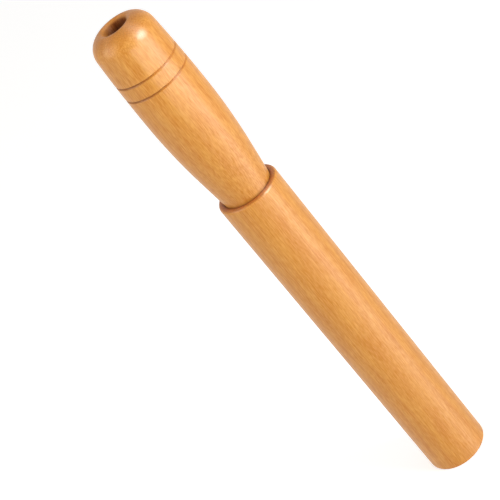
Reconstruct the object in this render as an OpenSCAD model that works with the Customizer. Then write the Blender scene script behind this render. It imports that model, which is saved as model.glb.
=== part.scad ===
// Wild boar call: a turned beech mouthpiece that plugs into a turned beech tube.
// A beating reed stands in the tube's socket and reaches up into the mouthpiece's chamber.
// Sizes are in millimetres. The origin is the centre of the tube's open end, and +Z runs up to the nose.

/* [Body tube] */
// Length of the tube from its open end to its rim
tube_length = 132.4; // [115:0.2:160]
// Outside diameter of the tube
tube_d = 22; // [21.4:0.1:26]
// Diameter of the sound bore
sound_bore_d = 15; // [11:0.1:15.6]
// Diameter of the seat that holds the reed block
block_seat_d = 16; // [15.4:0.1:16.8]
// Diameter of the socket that takes the mouthpiece's tenon
socket_d = 18; // [17.8:0.1:19]
// Depth of the socket below the rim
socket_depth = 18; // [15:0.5:24]
// Rounding of the rim's outer edge
rim_round = 1.1; // [0.3:0.1:1.3]
// Rounding of the rim's inner edge
rim_inner_round = 0.15; // [0.1:0.05:0.5]
// Rounding of the open end's edges
end_round = 0.7; // [0.2:0.1:1.2]

/* [Mouthpiece] */
// Height of the mouthpiece above the rim, to the top of the nose's arc
mouthpiece_height = 69.4; // [64:0.2:90]
// Diameter at the belly
belly_d = 23.2; // [22:0.1:25]
// Height of the belly above the rim
belly_height = 36.5; // [30:0.5:42]
// Height of the straight neck above the rim
neck_height = 12; // [4:1:20]
// Radius of the domed nose
nose_round = 6.2; // [5.2:0.1:7]
// Angle at which the belly leans in towards the nose
nose_lean = 3.2; // [1:0.1:5]
// Diameter of the blow hole
blow_hole_d = 7.6; // [5:0.1:8.8]
// Rounding of the lip that rolls from the nose into the blow hole
blow_lip_round = 1.8; // [0.6:0.1:2.2]
// Height of the lower turned line above the rim
line_height = 48.5; // [40:0.1:52]
// Distance between the two turned lines
line_spacing = 5.3; // [3:0.1:8]
// Width of a turned line
line_w = 0.8; // [0.3:0.05:1]
// Chamfer on the end of the tenon
tenon_chamfer = 0.6; // [0.2:0.1:1]

/* [Joint rings] */
// Cord diameter of the joint rings
joint_cord_d = 1.6; // [1.2:0.1:1.8]
// Height of the lower joint ring above the tenon's end
joint_ring_height = 4.5; // [3:0.1:5.5]
// Distance between the joint rings
joint_ring_spacing = 7; // [4:0.1:8]
// Spare width of a ring's groove
joint_groove_spare = 0.4; // [0.2:0.1:0.8]

/* [Reed unit] */
// Length of the reed block's shank below its flange
block_length = 14; // [8:0.5:20]
// Thickness of the reed block's flange
block_flange_t = 1.5; // [1:0.1:2.5]
// Diameter of the half-round tone board
board_d = 8; // [7:0.1:8.6]
// Length of the tone board from foot to tip
board_length = 63; // [55:1:70]
// Thickness of the tone board at its tip
board_tip_t = 1.2; // [0.8:0.1:1.6]
// Length of the slope on the back of the tone board's tip
board_slope = 12; // [6:0.5:16]
// Width of the half-round trough in the tone board
trough_d = 4.4; // [3:0.1:4.8]
// Length of the closed end beyond the trough
trough_end = 5; // [4:0.1:7]
// Width of the tongue
tongue_w = 6.4; // [5.4:0.1:6.8]
// Thickness of the tongue
tongue_t = 0.3; // [0.2:0.05:0.5]
// Length of the tongue's heel under the wedge
tongue_heel = 6; // [4:0.5:8]
// How far the tongue's tip stops short of the tone board's tip
tongue_setback = 0.6; // [0.2:0.1:1.2]
// Angle the tongue swings each way about the wedge's edge
tongue_swing = 1; // [0.5:0.1:1.4]
// How far the wedge stands above the reed block
wedge_stand = 1.5; // [0.5:0.1:3]
// Wall of the tuning ring
tuning_wall = 1; // [0.8:0.1:1.2]
// Height of the tuning ring
tuning_h = 1.6; // [1:0.1:2.5]
// Inside corner rounding of the tuning ring
tuning_corner = 0.4; // [0.2:0.05:0.5]
// How far the tuning ring slides up the tongue
tuning_travel = 8; // [4:0.5:12]
// Gap between the wedge and the tuning ring at its lowest
tuning_start_gap = 0.3; // [0.2:0.1:1]

/* [Fits] */
// Gap round the tenon in the socket
tenon_gap = 0.15; // [0.1:0.01:0.3]
// Gap left in a pressed seat
press_gap = 0.02; // [0.01:0.01:0.04]
// Running gap inside and outside a joint ring
ring_gap = 0.05; // [0.03:0.01:0.08]
// Sliding gap between the tuning ring and what it goes round
tuning_gap = 0.12; // [0.08:0.01:0.2]
// Gap between the tuning ring and the chamber's wall
chamber_gap = 0.6; // [0.4:0.05:0.9]
// Space in the chamber above the tone board
chamber_headroom = 12; // [4:0.5:16]
// Spare gap at the tongue's heel when the tongue swings fully
heel_spare = 0.04; // [0.03:0.01:0.08]

/* [Hidden] */
$fn = 96;

// Colours
beech = "#E3A057";
pale_beech = "#D9B483";
black_plastic = "#2A2A2C";
cork = "#C49A6C";
brass = "#C9A24B";
black_rubber = "#1C1C1C";

// Steps along a curve of an outline
arc_steps = 8;
curve_steps = 16;
// Overrun of a cut past the face that it goes through
cut = 1;
// Included angle of the drill that bores the chamber
drill_angle = 118;

// Heights along the axis
rim_z = tube_length;
socket_floor_z = rim_z - socket_depth;
block_foot_z = socket_floor_z - block_length;
tenon_end_z = socket_floor_z + block_flange_t;
wedge_top_z = tenon_end_z + wedge_stand;
board_tip_z = block_foot_z + board_length;
chamber_top_z = board_tip_z + chamber_headroom;
tongue_foot_z = wedge_top_z - tongue_heel;
tongue_tip_z = board_tip_z - tongue_setback;
trough_top_z = board_tip_z - trough_end;
joint_ring_z = [for (i = [0, 1]) tenon_end_z + joint_ring_height + i * joint_ring_spacing];

// Radii
tube_r = tube_d / 2;
sound_bore_r = sound_bore_d / 2;
block_seat_r = block_seat_d / 2;
socket_r = socket_d / 2;
tenon_r = socket_r - tenon_gap;
belly_r = belly_d / 2;
board_r = board_d / 2;
block_bore_r = board_r + press_gap;
trough_r = trough_d / 2;
joint_cord_r = joint_cord_d / 2;
joint_ring_r = socket_r - ring_gap - joint_cord_r;
chamber_r = board_r + tuning_gap + tuning_wall + chamber_gap;
blow_hole_r = blow_hole_d / 2;

// Roundings, no larger than their walls allow
rim_wall = tube_r - socket_r;
rim_outer_used = min(rim_round, 0.68 * rim_wall);
rim_inner_used = min(rim_inner_round, 0.3 * rim_wall);
end_used = min(end_round, 0.4 * (tube_r - sound_bore_r));

// The tongue swings about the middle of its thickness at the wedge's top edge.
// Its heel needs this gap on either side to do so, and the lay falls away by the same angle.
heel_gap = tongue_heel * tan(tongue_swing) + heel_spare;
tongue_face_y = -heel_gap;
tongue_back_y = tongue_face_y - tongue_t;
wedge_face_y = tongue_back_y - heel_gap;
lay_drop = (board_tip_z - wedge_top_z) * tan(tongue_swing);

// The tuning ring starts just above the wedge, and clears the tongue as it swings all along its travel
tuning_foot_z = wedge_top_z + tuning_start_gap;
tuning_side_x = board_r + tuning_gap;
tuning_swing_gap = (tuning_travel + tuning_start_gap + tuning_h) * tan(tongue_swing);
tuning_front_y = tongue_back_y - tuning_swing_gap - tuning_gap;

// The outline of the mouthpiece above the rim: a straight neck, a belly and a domed nose,
// each running smoothly into the next.
neck_curve = (pow(belly_height, 2) - pow(neck_height, 2)) / (2 * (belly_r - tenon_r));
nose_centre_h = mouthpiece_height - nose_round;
nose_start_h = nose_centre_h + nose_round * sin(nose_lean);
nose_curve = (nose_start_h - belly_height) / tan(nose_lean);
nose_start_r = outline_r(nose_start_h);
nose_centre_r = nose_start_r - nose_round * cos(nose_lean);

// The lip leaves the nose's arc at this angle and runs smoothly into the wall of the blow hole
lip_centre_r = blow_hole_r + blow_lip_round;
lip_rise = sqrt(pow(nose_round - blow_lip_round, 2) - pow(lip_centre_r - nose_centre_r, 2));
lip_centre_z = rim_z + nose_centre_h + lip_rise;
lip_angle = atan2(lip_rise, lip_centre_r - nose_centre_r);

// The blow hole starts where the drill's point above the chamber has narrowed to it
blow_hole_foot_z = chamber_top_z + (chamber_r - blow_hole_r) / tan(drill_angle / 2);

// Radius of the mouthpiece at a height above the rim, up to where the nose starts
function outline_r(h) =
    h < neck_height ? tenon_r + h * (belly_height - neck_height) / neck_curve
    : h < belly_height ? belly_r - pow(belly_height - h, 2) / (2 * neck_curve)
    : belly_r - pow(h - belly_height, 2) / (2 * nose_curve);

// Points on an arc about (x, z) from angle a to angle b
function arc(x, z, r, a, b) =
    [for (i = [0:arc_steps]) let (t = a + (b - a) * i / arc_steps) [x + r * cos(t), z + r * sin(t)]];

// Points on the mouthpiece's outline from height a to height b above the rim
function outline(a, b) =
    [for (i = [0:curve_steps]) let (h = a + (b - a) * i / curve_steps) [outline_r(h), rim_z + h]];

// A round bar from z = a to z = b
module bar(r, a, b) {
    translate([0, 0, a]) cylinder(r = r, h = b - a);
}

// Everything on the -Y side of the plane y = face_y, tall enough to cut the whole reed unit
module front_of(face_y, a, b) {
    translate([-tube_d, face_y - 2 * tube_d, a]) cube([2 * tube_d, 2 * tube_d, b - a]);
}

// A flat strip from z = a to z = b with a round end at b, its front face at y = front_y
module round_ended_strip(w, t, front_y, a, b) {
    translate([0, front_y + t, 0]) rotate([90, 0, 0]) linear_extrude(t) {
        translate([-w / 2, a]) square([w, b - a - w / 2]);
        translate([0, b - w / 2]) circle(d = w);
    }
}

// The outline that the tuning ring is stretched to, grown by a margin: a half circle behind,
// straight across the front, with round corners
module stretched_outline(margin) {
    side_x = tuning_side_x + margin;
    front_y = tuning_front_y - margin;
    corner = tuning_corner + margin;
    intersection() {
        circle(r = side_x);
        translate([-side_x, 0]) square([2 * side_x, side_x]);
    }
    translate([-side_x, front_y + corner]) square([2 * side_x, -front_y - corner]);
    translate([-side_x + corner, front_y]) square([2 * (side_x - corner), -front_y]);
    for (side = [-1, 1])
        translate([side * (side_x - corner), front_y + corner]) circle(r = corner);
}

// A rubber ring in the tenon's groove, centred at a height
module joint_ring(z) {
    color(black_rubber) translate([0, 0, z])
        rotate_extrude() translate([joint_ring_r, 0]) circle(r = joint_cord_r);
}

// The turned tube: sound bore, seat for the reed block, and socket for the tenon
module body_tube() {
    color(beech) rotate_extrude() polygon(concat(
        arc(sound_bore_r + end_used, end_used, end_used, 180, 270),
        arc(tube_r - end_used, end_used, end_used, 270, 360),
        arc(tube_r - rim_outer_used, rim_z - rim_outer_used, rim_outer_used, 0, 90),
        arc(socket_r + rim_inner_used, rim_z - rim_inner_used, rim_inner_used, 90, 180),
        [[socket_r, socket_floor_z], [block_seat_r, socket_floor_z],
         [block_seat_r, block_foot_z], [sound_bore_r, block_foot_z]]));
}

// The turned plug that holds the reed, with a flange that rests on the socket's floor
module reed_block() {
    color(pale_beech) difference() {
        union() {
            bar(block_seat_r - press_gap, block_foot_z, socket_floor_z);
            bar(tenon_r, socket_floor_z, tenon_end_z);
        }
        bar(block_bore_r, block_foot_z - cut, tenon_end_z + cut);
    }
}

// The half-round board that the tongue beats on: a trough down its face, a lay that falls
// away from the tongue, and a sloped back at its round tip
module tone_board() {
    color(black_plastic) difference() {
        intersection() {
            bar(board_r, block_foot_z, board_tip_z);
            round_ended_strip(board_d, board_r, 0, block_foot_z, board_tip_z);
        }
        bar(trough_r, block_foot_z - cut, trough_top_z - trough_r);
        translate([0, 0, trough_top_z - trough_r]) sphere(r = trough_r);
        translate([0, 0, wedge_top_z]) rotate([-tongue_swing, 0, 0]) front_of(0, 0, board_length);
        translate([0, lay_drop + board_tip_t, board_tip_z])
            rotate([atan2(board_r - lay_drop - board_tip_t, board_slope), 0, 0])
            translate([-board_d, 0, -board_length]) cube([2 * board_d, board_d, 2 * board_length]);
    }
}

// The cork wedge that fills the front of the block's bore and clamps the tongue's heel
module reed_wedge() {
    color(cork) difference() {
        intersection() {
            bar(board_r, block_foot_z, wedge_top_z);
            front_of(-press_gap, block_foot_z - cut, wedge_top_z + cut);
        }
        translate([-board_d, wedge_face_y, tongue_foot_z - heel_gap])
            cube([2 * board_d, -wedge_face_y, tongue_heel + heel_gap + cut]);
    }
}

// The springy tongue, flat from its heel to its round tip
module reed_tongue() {
    color(brass) round_ended_strip(tongue_w, tongue_t, tongue_back_y, tongue_foot_z, tongue_tip_z);
}

// The rubber ring that binds the tongue to the board: round at the back, flat across the tongue
module tuning_ring() {
    color(black_rubber) translate([0, 0, tuning_foot_z]) linear_extrude(tuning_h) difference() {
        stretched_outline(tuning_wall);
        stretched_outline(0);
    }
}

module lower_joint_ring() {
    joint_ring(joint_ring_z[0]);
}

module upper_joint_ring() {
    joint_ring(joint_ring_z[1]);
}

// The mouthpiece as turned and bored: tenon, neck, belly and nose outside, blow hole and chamber inside
module mouthpiece_blank() {
    rotate_extrude() polygon(concat(
        [[chamber_r, tenon_end_z], [tenon_r - tenon_chamfer, tenon_end_z],
         [tenon_r, tenon_end_z + tenon_chamfer], [tenon_r, rim_z]],
        outline(neck_height, belly_height),
        outline(belly_height, nose_start_h),
        arc(nose_centre_r, rim_z + nose_centre_h, nose_round, nose_lean, lip_angle),
        arc(lip_centre_r, lip_centre_z, blow_lip_round, lip_angle, 180),
        [[blow_hole_r, blow_hole_foot_z], [chamber_r, chamber_top_z]]));
}

// The finished mouthpiece, with its two turned lines and the grooves for the joint rings
module mouthpiece() {
    groove_w = joint_cord_d + joint_groove_spare;
    groove_floor_r = joint_ring_r - joint_cord_r - ring_gap;
    color(beech) difference() {
        mouthpiece_blank();
        for (h = [line_height, line_height + line_spacing])
            rotate_extrude() translate([outline_r(h), rim_z + h]) rotate(45)
                square(line_w / sqrt(2), center = true);
        for (z = joint_ring_z)
            rotate_extrude() translate([groove_floor_r, z - groove_w / 2])
                square([tenon_r - groove_floor_r + cut, groove_w]);
    }
}

body_tube();
reed_block();
tone_board();
reed_wedge();
reed_tongue();
tuning_ring();
lower_joint_ring();
upper_joint_ring();
mouthpiece();
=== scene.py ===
import math
import bmesh
import bpy
from mathutils import Matrix, Vector


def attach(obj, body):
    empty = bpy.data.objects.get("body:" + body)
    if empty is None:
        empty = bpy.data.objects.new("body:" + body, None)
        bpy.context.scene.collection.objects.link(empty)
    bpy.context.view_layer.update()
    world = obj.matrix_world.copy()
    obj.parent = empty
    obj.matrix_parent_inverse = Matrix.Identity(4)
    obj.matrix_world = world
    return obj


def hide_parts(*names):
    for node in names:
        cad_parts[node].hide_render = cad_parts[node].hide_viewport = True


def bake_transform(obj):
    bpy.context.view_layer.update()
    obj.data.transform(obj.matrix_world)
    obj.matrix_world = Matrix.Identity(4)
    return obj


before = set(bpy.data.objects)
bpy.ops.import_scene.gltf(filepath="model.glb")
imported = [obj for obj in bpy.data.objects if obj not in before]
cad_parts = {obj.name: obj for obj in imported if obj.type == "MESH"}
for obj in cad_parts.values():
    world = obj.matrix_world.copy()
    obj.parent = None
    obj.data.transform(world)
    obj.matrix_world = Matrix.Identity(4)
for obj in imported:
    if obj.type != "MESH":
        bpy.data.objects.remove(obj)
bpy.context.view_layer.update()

MM = 0.001
QUARTER = math.pi / 2

# Sizes in millimetres, the same as the solids' own.
# A height is above the tube's open end, or above its rim where the name ends in _H or _HEIGHT.

# Tube
TUBE_R = 11.0
TUBE_LENGTH = 132.4
SOUND_BORE_R = 7.5
BLOCK_SEAT_R = 8.0
SOCKET_R = 9.0
SOCKET_FLOOR = 114.4
RIM_ROUND = 1.1
RIM_INNER_ROUND = 0.15
END_ROUND = 0.7

# Mouthpiece
TENON_R = 8.85
TENON_END = 115.9
TENON_CHAMFER = 0.6
NECK_HEIGHT = 12.0
BELLY_R = 11.6
BELLY_HEIGHT = 36.5
MOUTHPIECE_HEIGHT = 69.4
NOSE_ROUND = 6.2
NOSE_LEAN = math.radians(3.2)
NOSE_CENTRE_H = MOUTHPIECE_HEIGHT - NOSE_ROUND
NOSE_START_H = NOSE_CENTRE_H + NOSE_ROUND * math.sin(NOSE_LEAN)
NECK_CURVE = (BELLY_HEIGHT ** 2 - NECK_HEIGHT ** 2) / (2 * (BELLY_R - TENON_R))
NOSE_CURVE = (NOSE_START_H - BELLY_HEIGHT) / math.tan(NOSE_LEAN)
BLOW_HOLE_R = 3.8
BLOW_LIP_ROUND = 1.8
LOWER_LINE_H = 48.5
UPPER_LINE_H = 53.8
LINE_HALF_W = 0.4
LINE_DEPTH = 0.4
CHAMBER_R = 5.72
CHAMBER_TOP = 175.4
DRILL_SLOPE = 1 / math.tan(math.radians(59))

# Joint rings, each at its height, and their grooves in the tenon
JOINT_RINGS = {"lower_joint_ring": 120.4, "upper_joint_ring": 127.4}
RING_R = 8.15
RING_CORD_R = 0.8
RING_GROOVE_R = 7.3
RING_GROOVE_HALF_W = 1.0

# Reed unit
PRESS_GAP = 0.02
BLOCK_FOOT = 100.4
BOARD_R = 4.0
BOARD_TIP = 163.4
BOARD_TIP_T = 1.2
BOARD_TAPER = 12
TROUGH_R = 2.2
TROUGH_TOP = 158.4
WEDGE_TOP = 117.4
SWING = math.radians(1)
HEEL = 6
HEEL_SPARE = 0.04
HEEL_GAP = HEEL * math.tan(SWING) + HEEL_SPARE
TONGUE_W = 6.4
TONGUE_T = 0.3
TONGUE_FOOT = WEDGE_TOP - HEEL
TONGUE_TIP = 162.8
WEDGE_STEP = TONGUE_FOOT - HEEL_GAP
TUNING_FOOT = 117.7
TUNING_LENGTH = 1.6
TUNING_WALL = 1.0
TUNING_TRAVEL = 8
TUNING_GAP = 0.12
TUNING_CORNER = 0.4

# Softened edges, finer than the solids' own
CHAMFER_ROUND = 0.1
GROOVE_ROUND = 0.12
DRILL_ROUND = 0.2
MOUTH_ROUND = 0.25
LINE_SOFT = 0.04
BLOCK_FOOT_ROUND = 0.6
BLOCK_BORE_ROUND = 0.2
FLANGE_ROUND = 0.15
WEDGE_EDGE = 0.15
WEDGE_EDGE_LENGTH = 0.5
TONGUE_SOFT = 0.06
TUNING_ROUND_SHARE = 0.3

# Burnt turned lines and painted shade: shares of darkening, and pairs of values between which it goes
# from none to full
# Painted shade in the gap where the mouthpiece enters the rim
RIM_GAP_SHADE = 0.7
RIM_GAP_SHADE_ACROSS = (0.55, 0.1)
RIM_GAP_SHADE_DOWN = (1.0, 0.0)
# Painted shade in the bores below the socket
BORE_SHADE = 0.35
# Painted shade where the neck meets the rim
NECK_SHADE = 0.3
NECK_SHADE_REACH = (0.9, 0.0)
LINE_BURN = 0.08
LINE_BURN_REACH = (0.6, 0.2)
# Painted shade on the lines' side turned away from the key lamp
LINE_SIDE_SHADE = 0.42
LINE_SIDE_ANGLE = math.radians(-165)
LINE_SIDE_COSINES = (0.1, 0.8)
# Painted shade in the blow hole, and how much less of it the lit wall towards -X gets
HOLE_SHADE = 0.92
HOLE_SHADE_RADII = (4.8, 3.9)
HOLE_LIT_WALL = 0.35
HOLE_LIT_WALL_HEIGHTS = (64.5, 68)

# Bare wood: how far below the rim the lacquer reaches, and how far round the blow hole it is worn off
SOCKET_LACQUER = 0.4
TENON_LACQUER = 0.2
HOLE_BARE = 0.8

# How finely the meshes are divided
TURNED_SEGMENTS = 160
BLOCK_SEGMENTS = 96
RING_SEGMENTS = 128
CORNER_STEPS = 5
CORNER_ROOM = 2.2
TUBE_STRETCH = 2.5
MOUTHPIECE_STRETCH = 1.5
SIDE_STEP = 0.7
LINE_STEP = 0.06
LINE_REACH = 0.9
BOARD_STEP = 2.0
BOARD_END_STEP = 0.3
BOARD_FINE_STEP = 0.25
BOARD_FINE_LENGTH = 9
BOARD_FACE_EDGE = 3.5
TROUGH_STEPS = 16
TROUGH_EDGE = 0.2
TROUGH_SHUT_W = 0.015
TROUGH_SHUT_DEPTH = 0.001
WEDGE_FIRST_STEP = 4
WEDGE_STEP_RISE = 0.001
WEDGE_EDGE_STEPS = 5
TONGUE_STEPS = 10
TONGUE_TIP_STEPS = 14
SHARP_EDGE = math.radians(38)
WELD = 1e-4 * MM


# Outlines and meshes


def arc(x, z, r, a, b, steps):
    """Points on an arc about (x, z), from angle a to angle b in radians."""
    turn = [a + (b - a) * i / steps for i in range(steps + 1)]
    return [(x + r * math.cos(t), z + r * math.sin(t)) for t in turn]


def smoothstep(a, b, x):
    """0 at a and before it, 1 at b and past it, and a smooth S between them."""
    t = min(1, max(0, (x - a) / (b - a)))
    return t * t * (3 - 2 * t)


def rounded(corners):
    """A closed outline from (x, y, rounding) corners, where a rounding of 0 stays sharp.

    A rounding takes up at most a share of 1 / CORNER_ROOM of the stretches beside it.
    """
    points = []
    for i, (x, y, r) in enumerate(corners):
        here = Vector((x, y))
        if not r:
            points.append((x, y))
            continue
        back = Vector(corners[i - 1][:2]) - here
        on = Vector(corners[(i + 1) % len(corners)][:2]) - here
        half = back.angle(on) / 2
        reach = min(r / math.tan(half), back.length / CORNER_ROOM, on.length / CORNER_ROOM)
        start = here + back.normalized() * reach
        end = here + on.normalized() * reach
        for k in range(CORNER_STEPS + 1):
            t = k / CORNER_STEPS
            p = start * (1 - t) ** 2 + here * 2 * t * (1 - t) + end * t ** 2
            points.append((p.x, p.y))
    return points


def stepped(points, longest):
    """The closed outline with extra points, so that no stretch is longer than longest."""
    result = []
    for i, p in enumerate(points):
        q = points[(i + 1) % len(points)]
        count = max(1, math.ceil(math.dist(p, q) / longest))
        for k in range(count):
            t = k / count
            result.append((p[0] + (q[0] - p[0]) * t, p[1] + (q[1] - p[1]) * t))
    return result


def round_end(z, tip, half_w, least):
    """Half the width, at a height, of a strip that ends in a half circle at its tip."""
    over = max(0, z - (tip - half_w))
    return math.sqrt(max(least ** 2, half_w ** 2 - over ** 2))


def finish_mesh(name, bm):
    """Welds, orients and smooths a bmesh, and returns it as an object in the scene."""
    bmesh.ops.remove_doubles(bm, verts=bm.verts, dist=WELD)
    bmesh.ops.recalc_face_normals(bm, faces=bm.faces)
    for f in bm.faces:
        f.smooth = True
    for e in bm.edges:
        if len(e.link_faces) == 2:
            e.smooth = e.calc_face_angle(0) < SHARP_EDGE
    mesh = bpy.data.meshes.new(name)
    bm.to_mesh(mesh)
    bm.free()
    obj = bpy.data.objects.new(name, mesh)
    bpy.context.scene.collection.objects.link(obj)
    return obj


def bridge(bm, one, two):
    """Joins two closed loops of as many vertices with a band of faces."""
    for k in range(len(one)):
        n = (k + 1) % len(one)
        bm.faces.new((one[k], one[n], two[n], two[k]))


def lathe(name, outline, segments):
    """Turns a closed outline of (radius, height) points about the Z axis."""
    bm = bmesh.new()
    rings = []
    for i in range(segments):
        a = 2 * math.pi * i / segments
        c, s = math.cos(a) * MM, math.sin(a) * MM
        rings.append([bm.verts.new((r * c, r * s, z * MM)) for r, z in outline])
    for i, ring in enumerate(rings):
        bridge(bm, ring, rings[(i + 1) % segments])
    return finish_mesh(name, bm)


def skin(name, loops):
    """Joins closed loops of points, given in millimetres, end to end and closes both ends."""
    bm = bmesh.new()
    made = [[bm.verts.new(Vector(p) * MM) for p in loop] for loop in loops]
    for one, two in zip(made, made[1:]):
        bridge(bm, one, two)
    bm.faces.new(made[0])
    bm.faces.new(list(reversed(made[-1])))
    return finish_mesh(name, bm)


def mark(obj, name, value):
    """Stores value(x, y, z), with millimetres in, as a named number on every vertex."""
    numbers = obj.data.attributes.new(name, "FLOAT", "POINT")
    numbers.data.foreach_set("value", [value(*(v.co / MM)) for v in obj.data.vertices])


def dress(obj, node, material):
    """obj stands for a CAD node, which it hides, and takes the material."""
    obj.data.materials.append(material)
    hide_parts(node)


def place(obj, body, node, material):
    """obj stands for a CAD node and moves with its body."""
    dress(obj, node, material)
    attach(obj, body)


# Node materials


class Paint:
    """A material whose nodes are made by short calls, most of which return the new node's output."""

    def __init__(self, name):
        self.material = bpy.data.materials.new(name)
        self.material.use_nodes = True
        self.tree = self.material.node_tree
        self.shader = self.tree.nodes["Principled BSDF"]

    def node(self, kind, inputs=None, **settings):
        """The new node itself, with its settings made and its inputs fed."""
        n = self.tree.nodes.new("ShaderNode" + kind)
        for key, value in settings.items():
            setattr(n, key, value)
        for key, value in (inputs or {}).items():
            self.feed(n.inputs[key], value)
        return n

    def feed(self, socket, value):
        """Links a node's output to the socket, or sets a plain value on it."""
        if isinstance(value, bpy.types.NodeSocket):
            self.tree.links.new(value, socket)
        else:
            socket.default_value = value

    def math(self, operation, a, b=0.0, c=0.0):
        return self.node("Math", {0: a, 1: b, 2: c}, operation=operation).outputs[0]

    def vector(self, operation, a, b):
        return self.node("VectorMath", {0: a, 1: b}, operation=operation).outputs[0]

    def times(self, a, b):
        return self.math("MULTIPLY", a, b)

    def add(self, base, value, share):
        """base + value * share"""
        return self.math("MULTIPLY_ADD", value, share, base)

    def sway(self, base, value, share, middle=0.5):
        """base + (value - middle) * share"""
        return self.add(base, self.math("SUBTRACT", value, middle), share)

    def ramp(self, value, low, high, to_low=0.0, to_high=1.0):
        """A smooth step from to_low, where value is low, to to_high, where it is high."""
        inputs = {0: value, 1: low, 2: high, 3: to_low, 4: to_high}
        return self.node("MapRange", inputs, interpolation_type="SMOOTHSTEP").outputs[0]

    def noise(self, at, scale, detail=2.0, roughness=0.5):
        inputs = {"Vector": at, "Scale": scale, "Detail": detail, "Roughness": roughness}
        return self.node("TexNoise", inputs).outputs["Fac"]

    def cells(self, at, scale):
        """Distance from the nearest of many scattered points."""
        return self.node("TexVoronoi", {"Vector": at, "Scale": scale}).outputs["Distance"]

    def mix(self, share, a, b):
        """Colour a, with a share of colour b."""
        n = self.node("Mix", data_type="RGBA", blend_type="MIX")
        self.feed(n.inputs["Factor"], share)
        self.feed(n.inputs["A"], a)
        self.feed(n.inputs["B"], b)
        return n.outputs["Result"]

    def point(self):
        """Where a point is on the piece itself, in millimetres."""
        at = self.node("TexCoord").outputs["Object"]
        return self.vector("MULTIPLY", at, (1 / MM, 1 / MM, 1 / MM))

    def drawn(self, at, along, across=1.0):
        """The point with its axes scaled: a small share along draws a pattern out along Z."""
        return self.vector("MULTIPLY", at, (across, across, along))

    def end_grain(self, low, high):
        """0 on the sides, rising to 1 where the surface faces along Z."""
        normal = self.node("NewGeometry").outputs["Normal"]
        facing = self.node("SeparateXYZ", {0: normal}).outputs["Z"]
        return self.ramp(self.math("ABSOLUTE", facing), low, high)

    def number(self, name):
        """A number stored on the piece by mark."""
        return self.node("Attribute", attribute_name=name).outputs["Fac"]

    def bump(self, height, strength, distance):
        inputs = {"Height": height, "Strength": strength, "Distance": distance}
        return self.node("Bump", inputs).outputs["Normal"]

    def shade(self, **sockets):
        """Feeds the shader's own sockets, named with _ for each space, and returns the material."""
        for key, value in sockets.items():
            self.feed(self.shader.inputs[key.replace("_", " ")], value)
        return self.material


def linear(r, g, b):
    """A colour given as it looks on a screen, 0 to 255, as linear values."""
    def one(v):
        v /= 255
        return v / 12.92 if v <= 0.04045 else ((v + 0.055) / 1.055) ** 2.4
    return (one(r), one(g), one(b), 1.0)


BEECH_DARK = linear(201, 118, 4)
BEECH_LIGHT = linear(234, 168, 71)
BEECH_FLECK = linear(172, 98, 36)
BEECH_END_DARK = linear(138, 68, 8)
BEECH_END_LIGHT = linear(188, 105, 20)
BEECH_BARE = linear(200, 138, 76)
BEECH_BURNT_AND_SHADE = linear(98, 36, 9)
PLAIN_DARK = linear(196, 152, 104)
PLAIN_LIGHT = linear(226, 190, 144)
PLAIN_FLECK = linear(150, 100, 58)
PLAIN_END_DARK = linear(150, 104, 62)
PLAIN_END_LIGHT = linear(204, 160, 112)
PLASTIC_BLACK = linear(34, 34, 36)
PLASTIC_SCUFFED = linear(58, 57, 57)
CORK_LIGHT = linear(206, 164, 116)
CORK_DARK = linear(172, 126, 80)
CORK_PIT = linear(92, 58, 32)
BRASS_BRIGHT = linear(226, 190, 106)
BRASS_TARNISHED = linear(176, 132, 62)
RUBBER_BLACK = linear(26, 26, 27)
RUBBER_DUSTY = linear(52, 50, 48)


def growth_bands(p, at, pith):
    """Wandering growth rings round a pith outside the piece: 1 in the late wood, mostly near 0."""
    wander = p.noise(p.drawn(at, along=0.012, across=0.05), scale=1.0, detail=1.0)
    flat = p.vector("MULTIPLY", p.vector("SUBTRACT", at, (*pith, 0)), (1, 1, 0))
    away = p.node("VectorMath", {0: flat}, operation="LENGTH").outputs["Value"]
    away = p.add(away, wander, share=9.0)
    wave = p.add(0.5, p.math("SINE", p.times(away, 2.3)), share=0.5)
    return p.math("POWER", wave, 3.0)


def flecks(p, at, along, scale, core, edge):
    """Small flecks drawn out along the grain: 1 within a fleck's core, 0 past its edge."""
    cells = p.cells(p.drawn(at, along), scale)
    return p.ramp(cells, core, edge, to_low=1.0, to_high=0.0)


def end_pores(p, at, scale, dark, light):
    """The colour of end grain with fine pores."""
    pores = p.noise(p.drawn(at, along=0.1), scale, detail=2.0)
    return p.mix(p.ramp(pores, 0.35, 0.65), dark, light)


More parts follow.
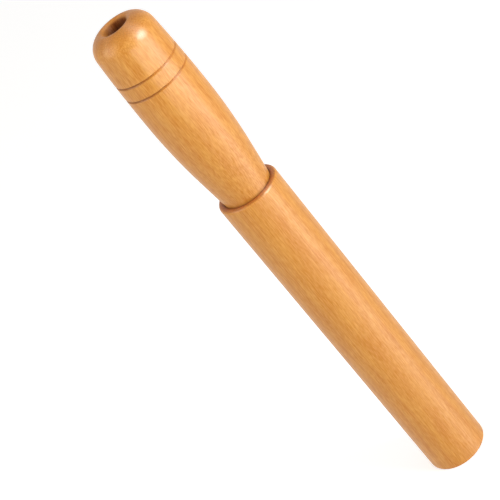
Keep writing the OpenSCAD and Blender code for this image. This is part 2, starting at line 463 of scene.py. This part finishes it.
def beech_paint(name, offset, pith, end_share, fine_share):
    """Golden lacquered beech, which reads from the piece where it is bare, where its lines are burnt,
    and where shade is painted on it.
    """
    p = Paint(name)
    at = p.vector("ADD", p.point(), offset)
    fibre = p.noise(p.drawn(at, along=0.025), scale=3.0, detail=1.0, roughness=0.6)
    fine = p.noise(p.drawn(at, along=0.1), scale=4.0, detail=1.0, roughness=0.5)
    mottle = p.noise(p.drawn(at, along=0.45), scale=0.16, detail=2.0, roughness=0.55)
    cloud = p.noise(p.drawn(at, along=0.6), scale=0.5, detail=2.0, roughness=0.5)
    patchy = p.ramp(p.noise(at, scale=0.35, detail=1.0), 0.1, 0.7)
    fleck = p.times(flecks(p, at, along=0.3, scale=2.2, core=0.10, edge=0.36), patchy)
    bare = p.number("bare")
    burn_and_shade = p.number("burn_and_shade")

    tone = p.sway(0.5, fibre, share=0.62)
    tone = p.sway(tone, fine, share=fine_share)
    tone = p.sway(tone, growth_bands(p, at, pith), share=-0.1, middle=0.3)
    tone = p.sway(tone, mottle, share=0.16)
    tone = p.sway(tone, cloud, share=0.08)
    colour = p.mix(p.ramp(tone, 0.05, 0.95), BEECH_DARK, BEECH_LIGHT)
    colour = p.mix(p.times(fleck, 0.1), colour, BEECH_FLECK)
    end_colour = end_pores(p, at, 4.2, BEECH_END_DARK, BEECH_END_LIGHT)
    colour = p.mix(p.times(p.end_grain(0.4, 1.0), end_share), colour, end_colour)
    colour = p.mix(bare, colour, p.mix(0.5, colour, BEECH_BARE))
    # Darkens the burnt lines and the painted shade alike, with one dark brown
    rough_burn_and_shade = p.times(burn_and_shade, p.ramp(fibre, 0.2, 0.7, to_low=0.75, to_high=1.0))
    colour = p.mix(rough_burn_and_shade, colour, BEECH_BURNT_AND_SHADE)

    relief = p.add(p.times(fleck, -0.5), fibre, share=0.6)
    relief = p.add(relief, mottle, share=1.2)
    shine = p.times(p.sway(0.42, fine, share=0.65), p.add(1.0, burn_and_shade, share=-0.86))
    return p.shade(
        Base_Color=colour,
        Roughness=p.add(p.add(0.52, bare, share=0.1), fine, share=0.15),
        Normal=p.bump(relief, strength=0.12, distance=0.0002),
        Coat_Weight=p.add(0.44, bare, share=-0.42),
        Coat_Roughness=0.27,
        Specular_IOR_Level=shine,
        Anisotropic=0.8,
        Anisotropic_Rotation=0.25,
        Tangent=p.node("Tangent", direction_type="RADIAL", axis="Z").outputs[0],
    )


def plain_wood_paint():
    """Bare turned beech."""
    p = Paint("plain_beech")
    at = p.point()
    fibre = p.noise(p.drawn(at, along=0.08), scale=2.2, detail=3.0, roughness=0.6)
    fleck = flecks(p, at, along=0.25, scale=1.3, core=0.08, edge=0.3)
    colour = p.mix(p.ramp(fibre, 0.3, 0.7), PLAIN_DARK, PLAIN_LIGHT)
    colour = p.mix(p.times(fleck, 0.35), colour, PLAIN_FLECK)
    end_colour = end_pores(p, at, 5.0, PLAIN_END_DARK, PLAIN_END_LIGHT)
    return p.shade(
        Base_Color=p.mix(p.end_grain(0.6, 0.95), colour, end_colour),
        Roughness=0.62,
        Normal=p.bump(fibre, strength=0.25, distance=0.0001),
    )


def plastic_paint():
    """Matt black plastic, scuffed along the board."""
    p = Paint("board_plastic")
    at = p.point()
    grain = p.noise(at, scale=9.0, detail=2.0)
    scuff = p.noise(p.drawn(at, along=0.1), scale=2.0, detail=3.0, roughness=0.7)
    return p.shade(
        Base_Color=p.mix(p.ramp(scuff, 0.5, 0.8), PLASTIC_BLACK, PLASTIC_SCUFFED),
        Roughness=p.ramp(scuff, 0.3, 0.75, to_low=0.36, to_high=0.55),
        Normal=p.bump(grain, strength=0.15, distance=0.00005),
    )


def cork_paint():
    """Bare cork with dark pits."""
    p = Paint("cork")
    at = p.point()
    grain = p.cells(at, scale=1.6)
    pits = p.ramp(p.noise(at, scale=1.1, detail=3.0, roughness=0.6), 0.58, 0.68)
    colour = p.mix(p.ramp(grain, 0.1, 0.7), CORK_LIGHT, CORK_DARK)
    relief = p.add(p.times(grain, 0.3), pits, share=-1.0)
    return p.shade(
        Base_Color=p.mix(p.times(pits, 0.8), colour, CORK_PIT),
        Roughness=0.85,
        Normal=p.bump(relief, strength=0.6, distance=0.0002),
    )


def brass_paint():
    """Rolled brass with patches of tarnish."""
    p = Paint("tongue_brass")
    at = p.point()
    rolled = p.noise(p.drawn(at, along=0.03), scale=7.0, detail=3.0, roughness=0.6)
    tarnish = p.noise(at, scale=0.35, detail=3.0, roughness=0.6)
    dull = p.ramp(tarnish, 0.4, 0.8, to_low=0.16, to_high=0.34)
    return p.shade(
        Base_Color=p.mix(p.ramp(tarnish, 0.45, 0.75), BRASS_BRIGHT, BRASS_TARNISHED),
        Metallic=1.0,
        Roughness=p.add(dull, rolled, share=0.2),
        Normal=p.bump(rolled, strength=0.08, distance=0.00005),
    )


def rubber_paint():
    """Black rubber with a little dust."""
    p = Paint("rubber")
    at = p.point()
    dust = p.noise(at, scale=1.4, detail=3.0, roughness=0.6)
    return p.shade(
        Base_Color=p.mix(p.ramp(dust, 0.5, 0.85), RUBBER_BLACK, RUBBER_DUSTY),
        Roughness=p.ramp(dust, 0.3, 0.8, to_low=0.42, to_high=0.62),
        Normal=p.bump(p.noise(at, scale=12.0), strength=0.1, distance=0.00003),
    )


# The tube


def tube_outline():
    """From the sound bore round the open end, up the outside, over the rim and down the bores."""
    foot_inside_x = SOUND_BORE_R + END_ROUND
    foot_outside_x = TUBE_R - END_ROUND
    rim_outside_x, rim_outside_z = TUBE_R - RIM_ROUND, TUBE_LENGTH - RIM_ROUND
    rim_inside_x, rim_inside_z = SOCKET_R + RIM_INNER_ROUND, TUBE_LENGTH - RIM_INNER_ROUND
    outline = arc(foot_inside_x, END_ROUND, END_ROUND, 2 * QUARTER, 3 * QUARTER, steps=6)
    outline += arc(foot_outside_x, END_ROUND, END_ROUND, 3 * QUARTER, 4 * QUARTER, steps=8)
    outline += arc(rim_outside_x, rim_outside_z, RIM_ROUND, 0, QUARTER, steps=8)
    outline += arc(rim_inside_x, rim_inside_z, RIM_INNER_ROUND, QUARTER, 2 * QUARTER, steps=5)
    outline += [(SOCKET_R, SOCKET_FLOOR), (BLOCK_SEAT_R, SOCKET_FLOOR)]
    outline += [(BLOCK_SEAT_R, BLOCK_FOOT), (SOUND_BORE_R, BLOCK_FOOT)]
    return stepped(outline, TUBE_STRETCH)


def tube_shade(x, y, z):
    """Painted shade in the gap at the rim's inner edge, and lighter painted shade in the bores below
    the socket.
    """
    r = math.hypot(x, y)
    gap = smoothstep(*RIM_GAP_SHADE_ACROSS, r - SOCKET_R) * smoothstep(*RIM_GAP_SHADE_DOWN, TUBE_LENGTH - z)
    below_socket = r < (SOCKET_R + BLOCK_SEAT_R) / 2
    return max(RIM_GAP_SHADE * gap, BORE_SHADE if below_socket else 0)


def tube_bare(x, y, z):
    """1 without lacquer, in the socket and the bores."""
    inside = math.hypot(x, y) < SOCKET_R + RIM_INNER_ROUND / 3
    return 1.0 if inside and z < TUBE_LENGTH - SOCKET_LACQUER else 0.0


def make_tube(material):
    tube = lathe("turned_tube", tube_outline(), TURNED_SEGMENTS)
    mark(tube, "burn_and_shade", tube_shade)
    mark(tube, "bare", tube_bare)
    place(tube, "tube", "body_tube", material)


# The mouthpiece


def outline_r(h):
    """Radius of the mouthpiece at a height above the rim, without its turned lines."""
    if h < NECK_HEIGHT:
        return TENON_R + h * (BELLY_HEIGHT - NECK_HEIGHT) / NECK_CURVE
    if h < BELLY_HEIGHT:
        return BELLY_R - (BELLY_HEIGHT - h) ** 2 / (2 * NECK_CURVE)
    return BELLY_R - (h - BELLY_HEIGHT) ** 2 / (2 * NOSE_CURVE)


def from_line(h):
    """How far a height above the rim is from the middle of the nearer turned line."""
    return min(abs(h - LOWER_LINE_H), abs(h - UPPER_LINE_H))


def line_cut(h):
    """Depth of a turned line at a height above the rim: a V with slightly softened edges."""
    near = from_line(h)
    if near >= 2 * LINE_HALF_W:
        return 0
    depth = LINE_DEPTH * (1 - near / LINE_HALF_W)
    return (depth + math.sqrt(depth ** 2 + LINE_SOFT ** 2)) / 2


def tenon_corners():
    """The tenon from the chamber's mouth, up past both ring grooves, to the rim."""
    corners = [
        (CHAMBER_R, TENON_END, MOUTH_ROUND),
        (TENON_R - TENON_CHAMFER, TENON_END, CHAMFER_ROUND),
        (TENON_R, TENON_END + TENON_CHAMFER, CHAMFER_ROUND),
    ]
    for z in JOINT_RINGS.values():
        low, high = z - RING_GROOVE_HALF_W, z + RING_GROOVE_HALF_W
        groove = ((TENON_R, low), (RING_GROOVE_R, low), (RING_GROOVE_R, high), (TENON_R, high))
        corners += [(r, at, GROOVE_ROUND) for r, at in groove]
    return corners + [(TENON_R, TUBE_LENGTH, 0)]


def side_points():
    """Neck, belly and turned lines as (radius, height above the rim), closer together at the lines."""
    heights = [0.0]
    while heights[-1] < NOSE_START_H:
        at_line = from_line(heights[-1]) < LINE_REACH
        heights.append(heights[-1] + (LINE_STEP if at_line else SIDE_STEP))
    return [(outline_r(h) - line_cut(h), h) for h in heights[1:-1]]


def nose_points():
    """The domed nose and the rolled lip of the blow hole as (radius, height above the rim)."""
    nose_r = outline_r(NOSE_START_H) - NOSE_ROUND * math.cos(NOSE_LEAN)
    lip_r = BLOW_HOLE_R + BLOW_LIP_ROUND
    lip_rise = math.sqrt((NOSE_ROUND - BLOW_LIP_ROUND) ** 2 - (lip_r - nose_r) ** 2)
    meet = math.atan2(lip_rise, lip_r - nose_r)
    dome = arc(nose_r, NOSE_CENTRE_H, NOSE_ROUND, NOSE_LEAN, meet, steps=24)
    lip = arc(lip_r, NOSE_CENTRE_H + lip_rise, BLOW_LIP_ROUND, meet, math.pi, steps=16)
    return dome + lip[1:]


def mouthpiece_outline():
    """From the chamber's mouth along the tenon, up the outside, over the lip and down the bore."""
    drill_end = CHAMBER_TOP + (CHAMBER_R - BLOW_HOLE_R) * DRILL_SLOPE
    corners = tenon_corners()
    corners += [(r, TUBE_LENGTH + h, 0) for r, h in side_points() + nose_points()]
    corners.append((BLOW_HOLE_R, drill_end, DRILL_ROUND))
    corners.append((CHAMBER_R, CHAMBER_TOP, DRILL_ROUND))
    return stepped(rounded(corners), MOUTHPIECE_STRETCH)


def line_burn_and_shade(x, y, h):
    """The turned lines are burnt all round, with painted shade added on the side turned away from the
    key lamp.
    """
    side = smoothstep(*LINE_SIDE_COSINES, math.cos(math.atan2(y, x) - LINE_SIDE_ANGLE))
    return (LINE_BURN + LINE_SIDE_SHADE * side) * smoothstep(*LINE_BURN_REACH, from_line(h))


def hole_shade(x, r, h):
    """Painted shade in the blow hole, with less of it near the lip on the side towards -X, the wall
    that faces the key lamp.
    """
    lit_wall = HOLE_LIT_WALL * max(0, -x / r) * smoothstep(*HOLE_LIT_WALL_HEIGHTS, h)
    return smoothstep(*HOLE_SHADE_RADII, r) * (HOLE_SHADE - lit_wall)


def mouthpiece_burn_and_shade(x, y, z):
    """Painted shade in the blow hole and where the neck meets the rim, and the burnt turned lines with
    painted shade on one side.
    """
    r, h = math.hypot(x, y), z - TUBE_LENGTH
    if r < RING_GROOVE_R:
        return hole_shade(x, r, h) if h > 0 else 0
    return max(line_burn_and_shade(x, y, h), NECK_SHADE * smoothstep(*NECK_SHADE_REACH, abs(h)))


def mouthpiece_bare(x, y, z):
    """1 without lacquer, on the tenon and in the blow hole."""
    in_hole = math.hypot(x, y) < BLOW_HOLE_R + HOLE_BARE
    return 1.0 if in_hole or z < TUBE_LENGTH - TENON_LACQUER else 0.0


def make_mouthpiece(material):
    mouthpiece = lathe("turned_mouthpiece", mouthpiece_outline(), TURNED_SEGMENTS)
    mark(mouthpiece, "burn_and_shade", mouthpiece_burn_and_shade)
    mark(mouthpiece, "bare", mouthpiece_bare)
    place(mouthpiece, "mouthpiece", "mouthpiece", material)


def make_joint_rings(material):
    for node, z in JOINT_RINGS.items():
        cord = arc(RING_R, z, RING_CORD_R, 0, 2 * math.pi, steps=24)
        ring = lathe("moulded_" + node, cord[:-1], RING_SEGMENTS)
        place(ring, "joint_rings", node, material)


# The reed unit. The board's face looks along -Y, with the tongue and the wedge in front of it.


def make_reed_block(material):
    bore_r, seat_r = BOARD_R + PRESS_GAP, BLOCK_SEAT_R - PRESS_GAP
    outline = rounded([
        (bore_r, BLOCK_FOOT, BLOCK_BORE_ROUND),
        (seat_r, BLOCK_FOOT, BLOCK_FOOT_ROUND),
        (seat_r, SOCKET_FLOOR, 0),
        (TENON_R, SOCKET_FLOOR, FLANGE_ROUND),
        (TENON_R, TENON_END, MOUTH_ROUND),
        (bore_r, TENON_END, MOUTH_ROUND),
    ])
    block = lathe("turned_reed_block", outline, BLOCK_SEGMENTS)
    place(block, "tube", "reed_block", material)


def trough_section(z, lay):
    """Half the trough's width at the board's face, and its points, which meet where it has run out."""
    depth = round_end(z, TROUGH_TOP, TROUGH_R, least=0.02)
    if depth <= lay:
        return TROUGH_SHUT_W, [(0, lay + TROUGH_SHUT_DEPTH)] * (TROUGH_STEPS + 1)
    start = math.asin(lay / depth)
    r = max(depth, lay + TROUGH_SHUT_DEPTH)
    points = arc(0, 0, r, math.pi - start, start, TROUGH_STEPS)
    return math.sqrt(depth ** 2 - lay ** 2), [(x, max(lay, y)) for x, y in points]


def board_loop(z):
    """Section of the tone board: round back, sloped face with a trough, round and tapered tip."""
    lay = max(0, z - WEDGE_TOP) * math.tan(SWING)
    tip_back = (BOARD_TIP - WEDGE_TOP) * math.tan(SWING) + BOARD_TIP_T
    back = min(BOARD_R, tip_back + (BOARD_TIP - z) * (BOARD_R - tip_back) / BOARD_TAPER)
    half = round_end(z, BOARD_TIP, BOARD_R, least=0.2)
    mouth, trough = trough_section(z, lay)
    beside = min(half, mouth + TROUGH_EDGE)
    edge = min(half, BOARD_FACE_EDGE)
    round_back = arc(0, 0, BOARD_R, 0, math.pi, steps=32)
    loop = [(min(half, max(-half, x)), min(back, max(lay, y))) for x, y in round_back]
    loop += [(-edge, lay), (-beside, lay)] + trough + [(beside, lay), (edge, lay)]
    return [(x, y, z) for x, y in loop]


def make_tone_board(material):
    heights = [BLOCK_FOOT, BLOCK_FOOT + BOARD_END_STEP]
    while heights[-1] < BOARD_TIP - BOARD_FINE_LENGTH:
        heights.append(heights[-1] + BOARD_STEP)
    while heights[-1] < BOARD_TIP - BOARD_END_STEP:
        heights.append(heights[-1] + BOARD_FINE_STEP)
    heights[-1] = BOARD_TIP
    board = skin("moulded_tone_board", [board_loop(z) for z in heights])
    place(board, "tube", "tone_board", material)


def wedge_loop(z):
    """Section of the cork wedge: round front, flat face, set back above for the tongue's heel."""
    face = PRESS_GAP if z < WEDGE_STEP else 2 * HEEL_GAP + TONGUE_T
    r = BOARD_R - WEDGE_EDGE * smoothstep(WEDGE_TOP - WEDGE_EDGE_LENGTH, WEDGE_TOP, z)
    start = math.asin(face / r)
    front = arc(0, 0, r, math.pi + start, 2 * math.pi - start, steps=28)
    return [(x, y, z) for x, y in front]


def make_reed_wedge(material):
    heights = [BLOCK_FOOT, BLOCK_FOOT + WEDGE_FIRST_STEP, WEDGE_STEP - WEDGE_STEP_RISE, WEDGE_STEP]
    for i in range(WEDGE_EDGE_STEPS + 1):
        heights.append(WEDGE_TOP - WEDGE_EDGE_LENGTH * (1 - i / WEDGE_EDGE_STEPS))
    wedge = skin("cut_reed_wedge", [wedge_loop(z) for z in heights])
    place(wedge, "tube", "reed_wedge", material)


def tongue_loop(z):
    """Section of the tongue: a thin strip with softened edges and a round tip."""
    half = round_end(z, TONGUE_TIP, TONGUE_W / 2, least=0.1)
    front, back = -(HEEL_GAP + TONGUE_T), -HEEL_GAP
    flat = half - TONGUE_SOFT
    across = [flat * (1 - 2 * i / TONGUE_STEPS) for i in range(TONGUE_STEPS + 1)]
    loop = [(half, back - TONGUE_SOFT), (half, front + TONGUE_SOFT)]
    loop += [(x, front) for x in across]
    loop += [(-half, front + TONGUE_SOFT), (-half, back - TONGUE_SOFT)]
    loop += [(-x, back) for x in across]
    return [(x, y, z) for x, y in loop]


def make_reed_tongue(material):
    """The tongue, held at the wedge, is set in place here without a body to move with."""
    tip_start = TONGUE_TIP - TONGUE_W / 2
    heights = [TONGUE_FOOT + i for i in range(int(tip_start - TONGUE_FOOT))]
    for i in range(TONGUE_TIP_STEPS + 1):
        heights.append(tip_start + math.sin(QUARTER * i / TONGUE_TIP_STEPS) * TONGUE_W / 2)
    tongue = skin("rolled_reed_tongue", [tongue_loop(z) for z in heights])
    dress(tongue, "reed_tongue", material)
    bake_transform(tongue)


def tuning_outline(margin):
    """The outline that the tuning ring is stretched to, round board and swung tongue, plus a margin."""
    highest = TUNING_FOOT + TUNING_TRAVEL + TUNING_LENGTH - WEDGE_TOP
    side = BOARD_R + TUNING_GAP + margin
    front = -(HEEL_GAP + TONGUE_T + highest * math.tan(SWING) + TUNING_GAP) - margin
    corner = TUNING_CORNER + margin
    points = arc(0, 0, side, 0, math.pi, steps=40)
    points += arc(-side + corner, front + corner, corner, 2 * QUARTER, 3 * QUARTER, steps=8)
    points += arc(side - corner, front + corner, corner, 3 * QUARTER, 4 * QUARTER, steps=8)
    return points


def make_tuning_ring(material):
    square = [(x, y, TUNING_ROUND_SHARE) for x, y in ((0, 0), (1, 0), (1, 1), (0, 1))]
    bm = bmesh.new()
    loops = []
    for out, up in rounded(square):
        z = (TUNING_FOOT + TUNING_LENGTH * up) * MM
        outline = tuning_outline(TUNING_WALL * out)
        loops.append([bm.verts.new((x * MM, y * MM, z)) for x, y in outline])
    for k, loop in enumerate(loops):
        bridge(bm, loop, loops[(k + 1) % len(loops)])
    ring = finish_mesh("cut_tuning_ring", bm)
    place(ring, "tuning_ring", "tuning_ring", material)


# Floor, light and camera. The floor's and the lamps' places and sizes are in metres.

FLOOR_REACH = 12.0
FLOOR_DROP = 0.02 * MM
FLOOR_GREY = (0.75, 0.75, 0.75, 1)
FLOOR_GLOW = 0.54
WHITE = (1, 1, 1, 1)
SKY_COLOUR = (1.0, 0.985, 0.965, 1)
SKY_AT_HORIZON = 0.8
SKY_OVERHEAD = 0.46


def make_floor():
    """A pale floor that glows for the camera and in reflections, and keeps the call's shadow."""
    p = Paint("floor")
    rays = p.node("LightPath").outputs
    seen = p.math("ADD", rays["Is Camera Ray"], rays["Is Glossy Ray"])
    seen = p.math("ADD", seen, rays["Is Transmission Ray"])
    p.shade(
        Base_Color=FLOOR_GREY,
        Roughness=0.9,
        Specular_IOR_Level=0.0,
        Emission_Color=WHITE,
        Emission_Strength=p.times(seen, FLOOR_GLOW),
    )
    bm = bmesh.new()
    bmesh.ops.create_grid(bm, x_segments=8, y_segments=8, size=FLOOR_REACH)
    floor = finish_mesh("floor", bm)
    floor.location.z = -FLOOR_DROP
    floor.data.materials.append(p.material)


def light_sky():
    """A warm white sky whose strength falls smoothly from the horizon to overhead."""
    world = bpy.data.worlds.new("studio")
    world.use_nodes = True
    sky = world.node_tree.nodes
    link = world.node_tree.links.new
    heading = sky.new("ShaderNodeSeparateXYZ")
    link(sky.new("ShaderNodeTexCoord").outputs["Generated"], heading.inputs[0])
    fall = sky.new("ShaderNodeMapRange")
    fall.interpolation_type = "SMOOTHSTEP"
    fall.inputs["To Min"].default_value = SKY_AT_HORIZON
    fall.inputs["To Max"].default_value = SKY_OVERHEAD
    link(heading.outputs["Z"], fall.inputs["Value"])
    link(fall.outputs["Result"], sky["Background"].inputs["Strength"])
    sky["Background"].inputs["Color"].default_value = SKY_COLOUR
    bpy.context.scene.world = world


def softbox(name, at, aim_z, size, watts, colour=(1, 1, 1), reflected_only=False):
    """A flat lamp turned to a height on the call's axis. It can be one that only highlights show."""
    data = bpy.data.lights.new(name, "AREA")
    data.shape = "RECTANGLE"
    data.size, data.size_y = size
    data.energy = watts
    data.color = colour
    lamp = bpy.data.objects.new(name, data)
    bpy.context.scene.collection.objects.link(lamp)
    lamp.location = at
    lamp.rotation_mode = "QUATERNION"
    lamp.rotation_quaternion = (Vector((0, 0, aim_z)) - Vector(at)).to_track_quat("-Z", "Y")
    lamp.visible_diffuse = not reflected_only


def light_call():
    """A key and a fill that light the wood, and three lamps that only make its highlights."""
    softbox(
        "key", at=(0.35, -0.37, 0.33), aim_z=0.14, size=(0.22, 0.16), watts=1.77,
        colour=(1.0, 0.98, 0.96),
    )
    softbox(
        "sheen", at=(0.12, -0.50, 0.06), aim_z=0.09, size=(0.5, 0.12), watts=1.6,
        reflected_only=True,
    )
    softbox(
        "spot", at=(0.41, -0.33, 0.314), aim_z=0.19, size=(0.25, 0.40), watts=6.3,
        colour=(0.78, 0.84, 1.0), reflected_only=True,
    )
    softbox(
        "window", at=(-0.54, -0.1, 0.6), aim_z=0.19, size=(0.6, 0.6), watts=1.7,
        reflected_only=True,
    )
    softbox(
        "fill", at=(-0.30, -0.05, 0.36), aim_z=0.16, size=(0.24, 0.24), watts=0.33,
        colour=(1.0, 0.95, 0.94),
    )


# The camera was fitted to the photograph in a frame of its own, with x to the right across the call,
# y down along it and z away from the camera. TILT and YAW say how the call's axis lies in that frame,
# ORIGIN_SEEN where the middle of its open end is, and LEAN how far the picture is turned.
SENSOR_W = 36
PHOTO_PX = 500
FOCAL_PX = 1620
TILT = math.radians(28.64)
YAW = math.radians(0.56)
LEAN = math.radians(39.436)
ORIGIN_SEEN = Vector((12.73, 100.19, 575.5)) * MM


def aim_camera():
    """Puts the camera where the fit says, with the fitted frame turned into the call's own."""
    down = Vector((math.sin(YAW) * math.cos(TILT), math.cos(YAW) * math.cos(TILT), math.sin(TILT)))
    across = down.cross(Vector((0, 0, 1))).normalized()
    towards = down.cross(across)
    seen_to_call = Matrix((across, -towards, -down))
    right = seen_to_call @ Vector((math.cos(LEAN), math.sin(LEAN), 0))
    up = seen_to_call @ Vector((math.sin(LEAN), -math.cos(LEAN), 0))
    back = seen_to_call @ Vector((0, 0, -1))
    turn = Matrix((right, up, back)).transposed()
    data = bpy.data.cameras.new("camera")
    data.sensor_width = SENSOR_W
    data.lens = FOCAL_PX / PHOTO_PX * SENSOR_W
    camera = bpy.data.objects.new("camera", data)
    bpy.context.scene.collection.objects.link(camera)
    camera.matrix_world = Matrix.Translation(-(seen_to_call @ ORIGIN_SEEN)) @ turn.to_4x4()
    bpy.context.scene.camera = camera


tube_beech = beech_paint(
    "beech_tube", offset=(3.0, 11.0, 40.0), pith=(6, -40), end_share=0.8, fine_share=0.65,
)
mouthpiece_beech = beech_paint(
    "beech_mouthpiece", offset=(-17.0, 5.0, 310.0), pith=(-6, -44), end_share=0.42, fine_share=0.8,
)
plain_beech = plain_wood_paint()
board_plastic = plastic_paint()
cork = cork_paint()
tongue_brass = brass_paint()
rubber = rubber_paint()

make_tube(tube_beech)
make_mouthpiece(mouthpiece_beech)
make_reed_block(plain_beech)
make_joint_rings(rubber)
make_tone_board(board_plastic)
make_reed_wedge(cork)
make_reed_tongue(tongue_brass)
make_tuning_ring(rubber)

make_floor()
light_sky()
light_call()
aim_camera()
bpy.context.scene.view_settings.view_transform = "Standard"
